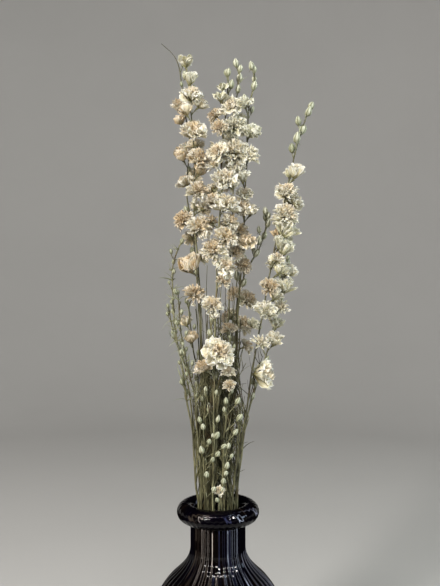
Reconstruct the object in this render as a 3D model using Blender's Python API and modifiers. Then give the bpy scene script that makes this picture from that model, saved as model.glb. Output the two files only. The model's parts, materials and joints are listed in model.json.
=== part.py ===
"""Dried larkspur standing in a ribbed black glass vase.

Eighteen cut stems go down through the neck of a round-bodied vase and stand on its floor. They lie in two nested
rings in the neck and all lean the same way round, so that they pass each other without touching and leave the
middle of the vase free. Each stem carries florets on short stalks, and pointed buds above them.
Florets from LOOSE_FLORET across are pieces of their own. Smaller ones and the buds are one piece with their stem.
The origin is the middle of the vase's underside, +Z is up, and -Y is the front of the bunch.
"""

import math

import bmesh
import bpy
from mathutils import Matrix, Vector

MM = 0.001
GAP = 0.3  # between pieces that touch, in millimetres as every size below

# The vase.
LIP_HEIGHT = 190.0
LIP_RING_RADIUS = 31.75
LIP_ROLL_RADIUS = 9.25
NECK_RADIUS = 27.5
WALL = 4.7
BODY_RADIUS = 66.4
BODY_HEIGHT = 78.5
BELLY_DROP = 98.4
SHOULDER_HEIGHT = 128.0
NECK_FOOT_HEIGHT = 156.0
FLOOR = 8.0
VASE_STEPS = 32
SHOULDER_HANDLE = 12.0  # how softly the neck runs out into the shoulder
SHOULDER_POINTS = 5
BELLY_POINTS = 7
LIP_POINTS = 11

# How the stems stand in it.
OUTER_RING = 19.4
INNER_RING = 10.5
OUTER_FEET = 32.0
INNER_FEET = 20.0
SPIRAL = math.radians(50)
STEM_RADIUS = 1.35
TIP_SHARE = 0.45
STEM_RINGS_EVERY = 46.0
STEM_BEVEL = 1

# Florets and buds.
FLORET_FILL = 0.84  # a floret's solid against the spread of its petals
LOOSE_FLORET = 16.0
FLORET_STEPS = 8
SMALL_FLORET_STEPS = 6
FLORET_DROP = 9.0
STALK_RADIUS = 0.55
STALK_SIDES = 4
STALK_SINK = 0.16  # how far a stalk runs into what it carries, as a share of its length
BUD_LENGTH = 7.0
BUD_WIDTH = 3.6
BUD_SIDES = 5
BUD_RINGS = 4
BUD_REACH = 4.6
BUD_RISE = 4.0
GOLDEN_ANGLE = math.radians(137.5)

# A floret's outline from its crown to its stalk, as shares of its width: distance out, height above the stalk.
FLORET_OUTLINE = [
    (0.0, 1.0),
    (0.24, 0.96),
    (0.46, 0.76),
    (0.5, 0.58),
    (0.3, 0.34),
    (0.09, 0.2),
    (0.05, 0.0),
    (0.0, 0.0),
]
SMALL_FLORET_OUTLINE = [(0.0, 1.0), (0.42, 0.84), (0.5, 0.56), (0.14, 0.2), (0.0, 0.1)]
FLORET_MIDDLE = 0.62

# Each stem: its ring in the neck, its bearing there in degrees from +X towards the back, the line it follows above
# the neck, the florets it carries as (x, y, z of the middle, width), and its budded stretch as
# (lowest height, highest height, spacing, how far the lowest bud reaches).
STEMS = {
    "left_spike": dict(
        ring=INNER_RING,
        bearing=165,
        line=[(-13, 2, 250), (-15, 0, 300), (-17, -3, 350), (-18, -5, 400), (-21, -6, 450), (-24, -7, 500),
              (-24, -8, 555), (-28, -8, 600), (-31, -8, 628)],
        florets=[(-32, -9, 632, 9), (-27, -15, 614, 13), (-25, -17, 600, 17), (-17, -12, 592, 12),
                 (-32, -14, 584, 12), (-23, -23, 563, 24), (-17, -14, 541, 20), (-17, -6, 527, 14),
                 (-34, -9, 516, 15), (-18, -22, 508, 23), (-12, 1, 493, 15), (-17, -23, 473, 23),
                 (-28, -20, 430, 21), (-22, 6, 556, 13)],
        buds=None,
    ),
    "left_back_spike": dict(
        ring=OUTER_RING,
        bearing=111,
        line=[(-10, 19, 250), (-13, 18, 300), (-16, 17, 350), (-20, 16, 400), (-24, 14, 450), (-28, 12, 485),
              (-32, 10, 515), (-29, 9, 555), (-33, 8, 590), (-36, 7, 615), (-39, 5, 634), (-45, 2, 646),
              (-57, -2, 656)],
        florets=[(-37, -4, 594, 16), (-39, 4, 579, 12), (-36, -5, 542, 17), (-37, 0, 482, 18),
                 (-30, 20, 604, 12), (-22, 20, 578, 14), (-33, 22, 556, 14), (-24, 25, 528, 15),
                 (-20, 24, 496, 14), (-29, 28, 466, 15), (-16, 27, 446, 13)],
        buds=None,
    ),
    "middle_spike": dict(
        ring=INNER_RING,
        bearing=-115,
        line=[(-5, -12, 250), (-4, -14, 300), (-3, -15, 350), (-2, -14, 400), (0, -13, 450), (3, -12, 500),
              (3, -8, 530), (6, -2, 565), (9, 0, 600), (10, -1, 624)],
        florets=[(2, -12, 597, 11), (-4, -11, 583, 12), (1, -22, 569, 13), (-1, -20, 546, 15),
                 (-4, -21, 532, 13), (8, -27, 515, 24), (-6, -21, 497, 15), (8, -25, 491, 19),
                 (9, -25, 463, 17), (-5, -28, 451, 24), (8, -28, 435, 21), (6, -27, 420, 13),
                 (-6, 4, 512, 13), (-9, 0, 478, 13)],
        buds=(608, 622, 7, 1.0),
    ),
    "centre_back_spike": dict(
        ring=INNER_RING,
        bearing=85,
        line=[(3, 12, 250), (6, 13, 300), (9, 13, 350), (11, 13, 400), (13, 12, 450), (15, 10, 500),
              (15, 8, 550), (17, 7, 590), (20, 6, 618), (22, 6, 630)],
        florets=[(13, -13, 593, 19), (15, -11, 574, 19), (15, -14, 548, 24), (16, -9, 529, 16),
                 (26, -2, 436, 14), (9, 18, 604, 12), (24, 20, 586, 13), (12, 22, 566, 14),
                 (21, 24, 544, 15), (10, 24, 520, 14), (22, 26, 500, 15), (9, 26, 478, 14),
                 (20, 28, 458, 15), (8, 28, 434, 14)],
        buds=(606, 628, 7, 1.0),
    ),
    "middle_right_spike": dict(
        ring=INNER_RING,
        bearing=20,
        line=[(13, 5, 250), (16, 6, 300), (19, 6, 350), (21, 5, 400), (25, 4, 450), (27, 3, 490),
              (28, 2, 525), (29, 1, 560), (31, -1, 590), (36, -4, 615), (36, -5, 626)],
        florets=[(27, -14, 593, 14), (31, -10, 565, 17), (31, -14, 544, 18), (24, -12, 518, 13),
                 (26, -10, 504, 13), (24, -14, 487, 17), (34, -5, 487, 14), (27, -12, 456, 17)],
        buds=(600, 624, 7, 1.0),
    ),
    "right_spike": dict(
        ring=OUTER_RING,
        bearing=-44,
        line=[(20, -14, 245), (29, -14, 300), (37, -13, 350), (46, -12, 400), (53, -11, 435), (59, -10, 465),
              (67, -9, 505), (73, -8, 530), (80, -8, 558), (86, -7, 578), (90, -7, 588)],
        florets=[(76, -18, 521, 16), (67, -21, 505, 16), (76, -12, 496, 11), (68, -22, 485, 20),
                 (67, -18, 464, 17), (66, -15, 446, 15), (58, -21, 440, 9), (51, -24, 415, 16),
                 (46, -24, 389, 17), (42, -24, 360, 14), (72, 3, 524, 9), (73, 2, 501, 12),
                 (63, 2, 482, 13), (66, 3, 458, 14), (57, 2, 438, 13)],
        buds=(541, 586, 9, 1.0),
    ),
    "right_low_spike": dict(
        ring=OUTER_RING,
        bearing=27,
        line=[(22, 9, 240), (30, 9, 285), (41, 8, 320), (50, 6, 350), (57, 4, 380), (62, 2, 405),
              (66, 0, 428), (69, -1, 440)],
        florets=[(69, -8, 428, 13), (66, -9, 409, 15), (62, -11, 394, 13), (58, -7, 374, 12),
                 (56, -7, 357, 12), (62, 12, 416, 11), (54, 15, 388, 12)],
        buds=None,
    ),
    "right_edge_stem": dict(
        ring=OUTER_RING,
        bearing=-12,
        line=[(23, -4, 245), (29, -4, 285), (35, -4, 308), (37, -4, 314)],
        florets=[(45, -8, 330, 24)],
        buds=None,
    ),
    "back_spike": dict(
        ring=OUTER_RING,
        bearing=84,
        line=[(6, 21, 250), (11, 22, 300), (16, 22, 350), (20, 20, 385), (22, 18, 405), (23, 17, 418)],
        florets=[(31, 13, 402, 18), (28, 15, 376, 17), (31, 19, 354, 13), (10, 24, 384, 14)],
        buds=None,
    ),
    "short_spike": dict(
        ring=INNER_RING,
        bearing=-50,
        line=[(9, -9, 250), (11, -8, 300), (12, -6, 340), (12, -5, 362)],
        florets=[(11, -6, 374, 14)],
        buds=None,
    ),
    "front_spike": dict(
        ring=OUTER_RING,
        bearing=-102,
        line=[(-4, -23, 250), (-4, -26, 300), (-3, -28, 330), (-6, -29, 370), (-8, -29, 388)],
        florets=[(3, -43, 354, 30), (-5, -39, 398, 20), (-3, -39, 384, 10), (-15, -34, 336, 15)],
        buds=None,
    ),
    "left_low_spike": dict(
        ring=OUTER_RING,
        bearing=136,
        line=[(-16, 13, 240), (-18, 10, 290), (-21, 6, 330), (-25, 3, 350), (-28, 2, 375), (-29, 0, 394)],
        florets=[(-27, -9, 361, 17), (-22, -15, 409, 19), (-33, 12, 376, 12)],
        buds=None,
    ),
    "left_shoot": dict(
        ring=OUTER_RING,
        bearing=-174,
        line=[(-22, -3, 220), (-25, -4, 265), (-31, -4, 300), (-36, -4, 340), (-42, -3, 365), (-45, -2, 400),
              (-45, -2, 430), (-41, -2, 448), (-37, -2, 457)],
        florets=[],
        buds=(404, 456, 13, 1.2),
    ),
    "left_outer_shoot": dict(
        ring=OUTER_RING,
        bearing=160,
        line=[(-21, 8, 240), (-28, 9, 300), (-35, 11, 338), (-43, 12, 358), (-47, 12, 375), (-50, 11, 392)],
        florets=[],
        buds=(356, 391, 12, 1.2),
    ),
    "left_inner_shoot": dict(
        ring=OUTER_RING,
        bearing=-146,
        line=[(-17, -13, 240), (-22, -15, 300), (-31, -17, 340), (-36, -17, 370), (-38, -16, 395),
              (-39, -15, 406)],
        florets=[],
        buds=(366, 405, 13, 1.2),
    ),
    "right_shoot": dict(
        ring=OUTER_RING,
        bearing=55,
        line=[(13, 17, 250), (15, 17, 300), (17, 16, 350), (20, 16, 400), (25, 16, 420), (32, 15, 436),
              (39, 13, 446), (44, 10, 458), (48, 8, 472), (50, 7, 482)],
        florets=[],
        buds=(437, 481, 11, 1.1),
    ),
    "front_shoot": dict(
        ring=OUTER_RING,
        bearing=-78,
        line=[(4, -22, 220), (6, -24, 260), (9, -26, 300), (12, -27, 316)],
        florets=[(10, -34, 334, 13)],
        buds=None,
    ),
    "centre_shoot": dict(
        ring=OUTER_RING,
        bearing=-125,
        line=[(-12, -18, 240), (-13, -21, 280), (-12, -23, 308)],
        florets=[],
        buds=(290, 308, 9, 1.0),
    ),
}

MATERIALS = {
    "black_glass": dict(colour=(0.008, 0.007, 0.010), roughness=0.05),
    "dried_stem": dict(colour=(0.115, 0.110, 0.060), roughness=0.75),
    "dried_petal": dict(colour=(0.640, 0.560, 0.400), roughness=0.8),
}


def material(name):
    if name not in bpy.data.materials:
        made = bpy.data.materials.new(name)
        made.use_nodes = True
        shader = made.node_tree.nodes["Principled BSDF"]
        shader.inputs["Base Color"].default_value = (*MATERIALS[name]["colour"], 1)
        shader.inputs["Roughness"].default_value = MATERIALS[name]["roughness"]
    return bpy.data.materials[name]


def new_collection(name, hidden=False):
    made = bpy.data.collections.new(name)
    made.hide_render = hidden
    bpy.context.scene.collection.children.link(made)
    return made


def add_object(name, data, collection):
    made = bpy.data.objects.new(name, data)
    collection.objects.link(made)
    return made


def turned_mesh(name, outline, steps):
    """A turned shape in metres, from an outline in millimetres that runs down its outer side."""
    mesh = bpy.data.meshes.new(name)
    points = [(out * MM, 0, up * MM) for out, up in outline]
    mesh.from_pydata(points, [(i, i + 1) for i in range(len(points) - 1)], [])
    shape = bpy.data.objects.new(name + "_outline", mesh)
    bpy.context.scene.collection.objects.link(shape)
    screw = shape.modifiers.new("Screw", "SCREW")
    screw.steps = screw.render_steps = steps
    screw.use_merge_vertices = True
    screw.merge_threshold = 0.00001
    screw.use_smooth_shade = True
    turned = mesh_of(shape)
    bpy.data.objects.remove(shape)
    turned.name = name
    return turned


def mesh_of(shape):
    """The shape's evaluated mesh with its caps welded on."""
    bpy.context.view_layer.update()
    evaluated = shape.evaluated_get(bpy.context.evaluated_depsgraph_get())
    mesh = bpy.data.meshes.new_from_object(evaluated)
    bm = bmesh.new()
    bm.from_mesh(mesh)
    bmesh.ops.remove_doubles(bm, verts=bm.verts, dist=0.000001)
    bm.to_mesh(mesh)
    bm.free()
    return mesh


def arc(centre, radius, start, end, count):
    """Points on an arc of a circle or, with a pair of radii, of an ellipse. Angles are in degrees from outwards."""
    across, up = radius if isinstance(radius, tuple) else (radius, radius)
    angles = [math.radians(start + (end - start) * i / count) for i in range(count + 1)]
    return [(centre[0] + across * math.cos(a), centre[1] + up * math.sin(a)) for a in angles]


def bend(start, start_handle, end_handle, end, count):
    """Points on a smooth bend between two places, without its ends."""
    points = []
    for i in range(1, count):
        t = i / count
        shares = ((1 - t) ** 3, 3 * t * (1 - t) ** 2, 3 * t * t * (1 - t), t**3)
        places = (start, start_handle, end_handle, end)
        points.append(tuple(sum(s * p[k] for s, p in zip(shares, places)) for k in (0, 1)))
    return points


def wall_side(inset):
    """One side of the vase's wall from the foot of its neck down to its floor or underside."""
    across, down = BODY_RADIUS - inset, BELLY_DROP - inset
    neck = (NECK_RADIUS - inset, NECK_FOOT_HEIGHT)
    shoulder_angle = math.asin((SHOULDER_HEIGHT - BODY_HEIGHT) / BODY_RADIUS)
    shoulder = (across * math.cos(shoulder_angle), BODY_HEIGHT + across * math.sin(shoulder_angle))
    neck_handle = (neck[0], neck[1] - SHOULDER_HANDLE)
    shoulder_handle = (
        shoulder[0] - SHOULDER_HANDLE * math.sin(shoulder_angle),
        shoulder[1] + SHOULDER_HANDLE * math.cos(shoulder_angle),
    )
    lowest = FLOOR if inset else 0.0
    last_angle = math.degrees(math.asin((lowest - BODY_HEIGHT) / down))
    return (
        [neck]
        + bend(neck, neck_handle, shoulder_handle, shoulder, SHOULDER_POINTS)
        + arc((0, BODY_HEIGHT), across, math.degrees(shoulder_angle), 0, SHOULDER_POINTS)
        + arc((0, BODY_HEIGHT), (across, down), 0, last_angle, BELLY_POINTS)[1:]
        + [(0, lowest)]
    )


def vase_outline():
    """From the middle of the floor up the inside, over the rolled lip and down the outside to the underside."""
    roll = (LIP_RING_RADIUS, LIP_HEIGHT)
    crease_angle = -180 + math.degrees(math.acos((LIP_RING_RADIUS - NECK_RADIUS) / LIP_ROLL_RADIUS))
    inside = wall_side(WALL)[::-1]
    return inside + arc(roll, LIP_ROLL_RADIUS, 180, crease_angle, LIP_POINTS) + wall_side(0)


def make_vase(collection):
    vase = add_object("vase", turned_mesh("vase", vase_outline(), VASE_STEPS), collection)
    vase.data.materials.append(material("black_glass"))


def stem_points(stem):
    """The places a stem passes through, from its foot on the vase's floor to its tip."""
    bearing = math.radians(stem["bearing"])
    feet = OUTER_FEET if stem["ring"] == OUTER_RING else INNER_FEET
    foot = Vector((feet * math.cos(bearing + SPIRAL), feet * math.sin(bearing + SPIRAL), FLOOR + GAP))
    neck = Vector((stem["ring"] * math.cos(bearing), stem["ring"] * math.sin(bearing), LIP_HEIGHT))
    return [foot, foot.lerp(neck, 0.5), neck] + [Vector(place) for place in stem["line"]]


def smooth_line(places, spacing):
    """Points along one smooth curve through the places, with a place at each of its own."""
    line = []
    ends = [2 * places[0] - places[1]] + places + [2 * places[-1] - places[-2]]
    for before, start, end, after in zip(ends, ends[1:], ends[2:], ends[3:]):
        count = max(1, round((end - start).length / spacing))
        for i in range(count):
            t = i / count
            line.append(
                0.5
                * (
                    2 * start
                    + (end - before) * t
                    + (2 * before - 5 * start + 4 * end - after) * t**2
                    + (3 * start - before - 3 * end + after) * t**3
                )
            )
    return line + [places[-1]]


def at_height(line, height):
    """Where a stem's line is at a height."""
    for low, high in zip(line, line[1:]):
        if low.z <= height <= high.z:
            return low.lerp(high, (height - low.z) / (high.z - low.z))
    return line[-1].copy()


def tube(name, line, radius, tip_share, helpers):
    """A tapering round stem as a welded mesh object."""
    curve = bpy.data.curves.new(name, "CURVE")
    curve.dimensions = "3D"
    curve.bevel_depth = radius * MM
    curve.bevel_resolution = STEM_BEVEL
    curve.use_fill_caps = True
    spline = curve.splines.new("POLY")
    spline.points.add(len(line) - 1)
    for i, (point, place) in enumerate(zip(spline.points, line)):
        point.co = (*(place * MM), 1)
        point.radius = 1 + (tip_share - 1) * i / (len(line) - 1)
    guide = add_object(name + "_line", curve, helpers)
    made = mesh_of(guide)
    bpy.data.objects.remove(guide)
    return made


def placed(mesh, base, direction, size=1.0):
    """A scaled copy of a mesh that was made along +Z, standing on base and turned along direction."""
    turn = direction.to_track_quat("Z", "Y").to_matrix().to_4x4()
    made = mesh.copy()
    made.transform(Matrix.Translation(base * MM) @ turn @ Matrix.Scale(size, 4))
    return made


def stalk_mesh(start, end):
    """A thin straight stalk between two places."""
    mesh = bpy.data.meshes.new("stalk")
    bm = bmesh.new()
    length = (end - start).length * MM
    bmesh.ops.create_cone(
        bm,
        cap_ends=True,
        segments=STALK_SIDES,
        radius1=STALK_RADIUS * MM,
        radius2=STALK_RADIUS * MM,
        depth=length,
    )
    bmesh.ops.translate(bm, verts=bm.verts, vec=(0, 0, length / 2))
    bm.to_mesh(mesh)
    bm.free()
    return placed(mesh, start, end - start)


def bud_mesh():
    """An egg-shaped bud of BUD_WIDTH and BUD_LENGTH, standing on its stalk."""
    mesh = bpy.data.meshes.new("bud")
    bm = bmesh.new()
    bmesh.ops.create_uvsphere(bm, u_segments=BUD_SIDES, v_segments=BUD_RINGS, radius=0.5)
    bmesh.ops.translate(bm, verts=bm.verts, vec=(0, 0, 0.5))
    bmesh.ops.scale(bm, verts=bm.verts, vec=(BUD_WIDTH * MM, BUD_WIDTH * MM, BUD_LENGTH * MM))
    bm.to_mesh(mesh)
    bm.free()
    return mesh


def floret_places(line, floret):
    """Where a floret's stalk leaves the stem, where it ends, and the way the floret faces."""
    middle, width = Vector(floret[:3]), floret[3] * FLORET_FILL
    start = at_height(line, middle.z - FLORET_DROP)
    facing = (middle - start).normalized()
    return start, middle - facing * width * FLORET_MIDDLE, facing


def bud_places(stem, line):
    """Where each bud's stalk starts and ends, going round the stem by the golden angle."""
    if not stem["buds"]:
        return []
    lowest, highest, spacing, spread = stem["buds"]
    places = []
    for i in range(int((highest - lowest) / spacing) + 1):
        height = lowest + i * spacing
        start = at_height(line, height)
        reach = BUD_REACH * (spread + (1 - spread) * (height - lowest) / (highest - lowest))
        turn = GOLDEN_ANGLE * i
        places.append((start, start + Vector((reach * math.cos(turn), reach * math.sin(turn), BUD_RISE))))
    return places


def join_pieces(name, pieces, collection):
    """One solid out of overlapping meshes, the first of which is the stem."""
    body = add_object(name, pieces[0], collection)
    joined = new_collection(name + "_twigs", hidden=True)
    for i, piece in enumerate(pieces[1:]):
        add_object(f"{name}_twig_{i}", piece, joined)
    union = body.modifiers.new("Join", "BOOLEAN")
    union.operation = "UNION"
    union.solver = "EXACT"
    union.operand_type = "COLLECTION"
    union.collection = joined
    union.use_self = True
    mesh = mesh_of(body)
    body.modifiers.clear()
    body.data = mesh
    for twig in list(joined.objects):
        bpy.data.objects.remove(twig)
    bpy.data.collections.remove(joined)
    return body


def make_stem(name, stem, floret_meshes, bud, helpers, collection):
    line = smooth_line(stem_points(stem), STEM_RINGS_EVERY)
    pieces = [tube(name, line, STEM_RADIUS, TIP_SHARE, helpers)]
    number = 0
    for floret in stem["florets"]:
        start, base, facing = floret_places(line, floret)
        size = floret[3] * FLORET_FILL
        loose = floret[3] >= LOOSE_FLORET
        past_base = -GAP if loose else size * STALK_SINK
        pieces.append(stalk_mesh(start, base + facing * past_base))
        shape = placed(floret_meshes[loose], base, facing, size)
        if loose:
            number += 1
            flower = add_object(f"floret_{name}_{number}", shape, collection)
            flower.data.materials.append(material("dried_petal"))
        else:
            pieces.append(shape)
    for start, end in bud_places(stem, line):
        way = end - start
        pieces.append(stalk_mesh(start, end + way.normalized() * BUD_LENGTH * STALK_SINK))
        pieces.append(placed(bud, end, way))
    body = join_pieces("stem_" + name, pieces, collection)
    body.data.materials.clear()
    body.data.materials.append(material("dried_stem"))


def main():
    for old in list(bpy.data.objects):
        bpy.data.objects.remove(old)
    collection = new_collection("dried_larkspur_in_vase")
    helpers = new_collection("helpers", hidden=True)
    make_vase(collection)
    floret_meshes = {
        True: turned_mesh("floret", FLORET_OUTLINE, FLORET_STEPS),
        False: turned_mesh("small_floret", SMALL_FLORET_OUTLINE, SMALL_FLORET_STEPS),
    }
    bud = bud_mesh()
    for name, stem in STEMS.items():
        make_stem(name, stem, floret_meshes, bud, helpers, collection)


main()
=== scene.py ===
"""Dried larkspur in a ribbed black glass vase: the looks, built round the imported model."""

import json
import math
import random
from functools import partial

import bmesh
import bpy
from mathutils import Matrix, Vector
from mathutils.geometry import interpolate_bezier

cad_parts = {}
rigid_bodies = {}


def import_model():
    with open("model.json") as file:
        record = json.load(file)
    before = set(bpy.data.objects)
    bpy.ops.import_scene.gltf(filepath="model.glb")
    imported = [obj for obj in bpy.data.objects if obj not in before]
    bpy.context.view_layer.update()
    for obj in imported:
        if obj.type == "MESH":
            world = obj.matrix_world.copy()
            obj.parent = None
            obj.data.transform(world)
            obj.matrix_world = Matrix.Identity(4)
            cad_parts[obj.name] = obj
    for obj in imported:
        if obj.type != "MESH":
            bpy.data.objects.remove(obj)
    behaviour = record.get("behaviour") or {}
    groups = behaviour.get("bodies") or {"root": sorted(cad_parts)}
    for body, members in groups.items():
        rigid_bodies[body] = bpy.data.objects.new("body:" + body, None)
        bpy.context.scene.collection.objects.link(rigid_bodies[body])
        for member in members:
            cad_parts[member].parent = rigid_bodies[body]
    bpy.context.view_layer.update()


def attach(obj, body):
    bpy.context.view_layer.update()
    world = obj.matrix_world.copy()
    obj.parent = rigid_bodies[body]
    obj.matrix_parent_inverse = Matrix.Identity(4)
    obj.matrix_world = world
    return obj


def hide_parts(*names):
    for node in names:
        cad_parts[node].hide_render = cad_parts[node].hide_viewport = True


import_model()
MM = 0.001

# ---- The vase --------------------------------------------------------------------------------------------
# Blown glass, dipped in a ribbed mould while hot and then opened out, so the ribs run from the foot up the
# body and neck and lean over as they wrap the rolled lip. It is black amethyst: so deep a violet that it
# looks black, and brown only where light gets through its thin edge, which is painted in as a brown glow.

LIP_HEIGHT = 190.0
LIP_RING_RADIUS = 31.75
LIP_ROLL_RADIUS = 9.25
NECK_RADIUS = 27.5
NECK_FOOT_HEIGHT = 156.0
SHOULDER_HEIGHT = 128.0
SHOULDER_HANDLE = 12.0  # how far the bend from neck to shoulder keeps to each one's own line
BODY_RADIUS = 66.4
BODY_HEIGHT = 78.5
BELLY_DROP = 98.4
WALL = 4.7
FLOOR = 8.0
FLOOR_RINGS = (0.985, 0.9, 0.5, 0.0)  # of the floor's radius
LIP_POINTS = 52
NECK_POINTS = 8
BEND_POINTS, BODY_POINTS, BELLY_POINTS = 4, 5, 7  # on the inside
OUTSIDE_FINENESS = 4  # times as many outside
RIBS = 40
RIB_FACETS = 9
RIB_DEPTH_SHARE = 0.015  # of the radius at that height
LIP_RIB_SHARE = 0.3  # the lip's ribs were softened by reheating
RIB_LEAN = 0.24  # how far a rib swings round as it wraps the lip, in radians
FOOT_FADE = (10.0 * MM, 34.0 * MM)  # the ribs grow from nothing between these heights,
LIP_SOFTENING = (176.0 * MM, 188.0 * MM)  # soften between these
LEANING = (180.0 * MM, 200.0 * MM)  # and lean over between these
NODE_FAMILIES = ("ShaderNode", "GeometryNode", "FunctionNode", "Node")
SMOOTH = {"interpolation_type": "SMOOTHSTEP"}  # for a Map Range node that eases in and out


def linear(colour):
    """An sRGB hex colour as linear RGBA."""
    channels = [int(colour[i : i + 2], 16) / 255 for i in (1, 3, 5)]
    return (*[c / 12.92 if c < 0.04045 else ((c + 0.055) / 1.055) ** 2.4 for c in channels], 1)


def add_node(tree, kind, *values, result=None, **settings):
    """Adds a node and gives its named result or its first live one.

    Math.ADD is a ShaderNodeMath whose operation is ADD, and the other kinds leave out their family in the
    same way. The values go into its live inputs in order, as links, numbers or hex colours. A setting with a
    capital is an input by name, and any other is a property of the node.
    """
    kind, _, operation = kind.partition(".")
    family = next(family for family in NODE_FAMILIES if hasattr(bpy.types, family + kind))
    made = tree.nodes.new(family + kind)
    if operation:
        made.operation = operation
    for name in filter(str.islower, settings):
        setattr(made, name, settings[name])
    live = [socket for socket in made.inputs if socket.enabled]
    named = [name for name in settings if name[0].isupper()]
    by_name = [(made.inputs[name.replace("_", " ")], settings[name]) for name in named]
    for socket, value in list(zip(live, values)) + by_name:
        if isinstance(value, bpy.types.NodeSocket):
            tree.links.new(value, socket)
        else:
            socket.default_value = linear(value) if str(value).startswith("#") else value
    return made.outputs[result] if result else next((out for out in made.outputs if out.enabled), None)


def new_tree(name, **inputs):
    """A Geometry Nodes tree with these inputs and two usual ones, how to add to it, and what comes in."""
    tree = bpy.data.node_groups.new(name, "GeometryNodeTree")
    for label, kind in dict(Geometry="Geometry", **inputs, Finish="Material").items():
        tree.interface.new_socket(label.replace("_", " "), in_out="INPUT", socket_type="NodeSocket" + kind)
    tree.interface.new_socket("Geometry", in_out="OUTPUT", socket_type="NodeSocketGeometry")
    return tree, partial(add_node, tree), tree.nodes.new("NodeGroupInput").outputs


def end_tree(add, geometry, finish):
    """Closes a tree: everything real, smooth and in its finish."""
    real = add("RealizeInstances", geometry)
    smooth = add("SetShadeSmooth", real)
    add("GroupOutput", add("SetMaterial", smooth, Material=finish))


def placed(name, data):
    """A new object in the scene."""
    made = bpy.data.objects.new(name, data)
    bpy.context.scene.collection.objects.link(made)
    return made


def grown(name, mesh, tree, **inputs):
    """A plain mesh object, grown from a seed mesh by a tree with these inputs."""
    seed = placed(name + "_seed", mesh)
    modifier = seed.modifiers.new(tree.name, "NODES")
    modifier.node_group = tree
    for socket in tree.interface.items_tree:
        label = socket.name.lower().replace(" ", "_")
        if socket.in_out == "INPUT" and label in inputs:
            modifier[socket.identifier] = inputs[label]
    bpy.context.view_layer.update()
    evaluated = seed.evaluated_get(bpy.context.evaluated_depsgraph_get())
    result = bpy.data.meshes.new_from_object(evaluated)
    result.name = name
    bpy.data.objects.remove(seed)
    return placed(name, result)


def with_attributes(mesh, **attributes):
    """The mesh with a number or a vector of each name at each of its points."""
    for name, values in attributes.items():
        if isinstance(values[0], float):
            mesh.attributes.new(name, "FLOAT", "POINT").data.foreach_set("value", values)
        else:
            flat = [number for value in values for number in value]
            mesh.attributes.new(name, "FLOAT_VECTOR", "POINT").data.foreach_set("vector", flat)
    return mesh


def closed_mesh(name, bm, crease=math.tau, **attributes):
    """The mesh of a closed skin, with its faces turned outwards and a crease where they meet more sharply."""
    bmesh.ops.recalc_face_normals(bm, faces=bm.faces)
    for edge in bm.edges:
        edge.smooth = edge.calc_face_angle(0.0) < crease
    mesh = bpy.data.meshes.new(name)
    bm.to_mesh(mesh)
    bm.free()
    return with_attributes(mesh, **attributes)


def arc(centre, radii, start, end, count):
    """Points on an arc of an ellipse with these radii, across and up. Angles are in degrees from outwards."""
    angles = [math.radians(start + (end - start) * i / count) for i in range(count + 1)]
    return [(centre[0] + radii[0] * math.cos(a), centre[1] + radii[1] * math.sin(a)) for a in angles]


def wall_side(inset, fineness):
    """One side of the wall from the foot of the neck down to the middle of the floor or the underside."""
    across, down = BODY_RADIUS - inset, BELLY_DROP - inset
    angle = math.asin((SHOULDER_HEIGHT - BODY_HEIGHT) / BODY_RADIUS)
    neck = (NECK_RADIUS - inset, NECK_FOOT_HEIGHT)
    neck_handle = (neck[0], neck[1] - SHOULDER_HANDLE)
    shoulder = (across * math.cos(angle), BODY_HEIGHT + across * math.sin(angle))
    shoulder_handle = (
        shoulder[0] - SHOULDER_HANDLE * math.sin(angle),
        shoulder[1] + SHOULDER_HANDLE * math.cos(angle),
    )
    lowest = FLOOR if inset else 0.0
    last_angle = math.degrees(math.asin((lowest - BODY_HEIGHT) / down))
    edge = across * math.cos(math.radians(last_angle))
    return (
        [neck]
        + interpolate_bezier(neck, neck_handle, shoulder_handle, shoulder, BEND_POINTS * fineness + 1)[1:-1]
        + arc((0, BODY_HEIGHT), (across, across), math.degrees(angle), 0, BODY_POINTS * fineness)
        + arc((0, BODY_HEIGHT), (across, down), 0, last_angle, BELLY_POINTS * fineness)[1:]
        + [(edge * share, lowest) for share in FLOOR_RINGS]
    )


def vase_outline():
    """From the middle of the floor up the inside, over the rolled lip and down the outside."""
    crease = -180 + math.degrees(math.acos((LIP_RING_RADIUS - NECK_RADIUS) / LIP_ROLL_RADIUS))
    roll = arc((LIP_RING_RADIUS, LIP_HEIGHT), (LIP_ROLL_RADIUS, LIP_ROLL_RADIUS), 180, crease, LIP_POINTS)
    neck_top = roll[-1][1]
    neck_step = (NECK_FOOT_HEIGHT - neck_top) / NECK_POINTS
    neck = [(NECK_RADIUS, neck_top + neck_step * i) for i in range(1, NECK_POINTS)]
    return wall_side(WALL, 1)[::-1] + roll + neck + wall_side(0, OUTSIDE_FINENESS)


def turned_mesh(name, outline, steps):
    """An outline turned round the upright axis into one closed skin."""
    bm = bmesh.new()
    turns = [math.tau * i / steps for i in range(steps)]
    rings = []
    for out, up in outline:
        if out < 1e-6:
            rings.append([bm.verts.new((0, 0, up * MM))] * steps)
        else:
            places = [(out * MM * math.cos(turn), out * MM * math.sin(turn), up * MM) for turn in turns]
            rings.append([bm.verts.new(place) for place in places])
    for lower, upper in zip(rings, rings[1:]):
        for i in range(steps):
            j = (i + 1) % steps
            bm.faces.new(list(dict.fromkeys((lower[i], lower[j], upper[j], upper[i]))))
    return closed_mesh(name, bm)


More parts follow.
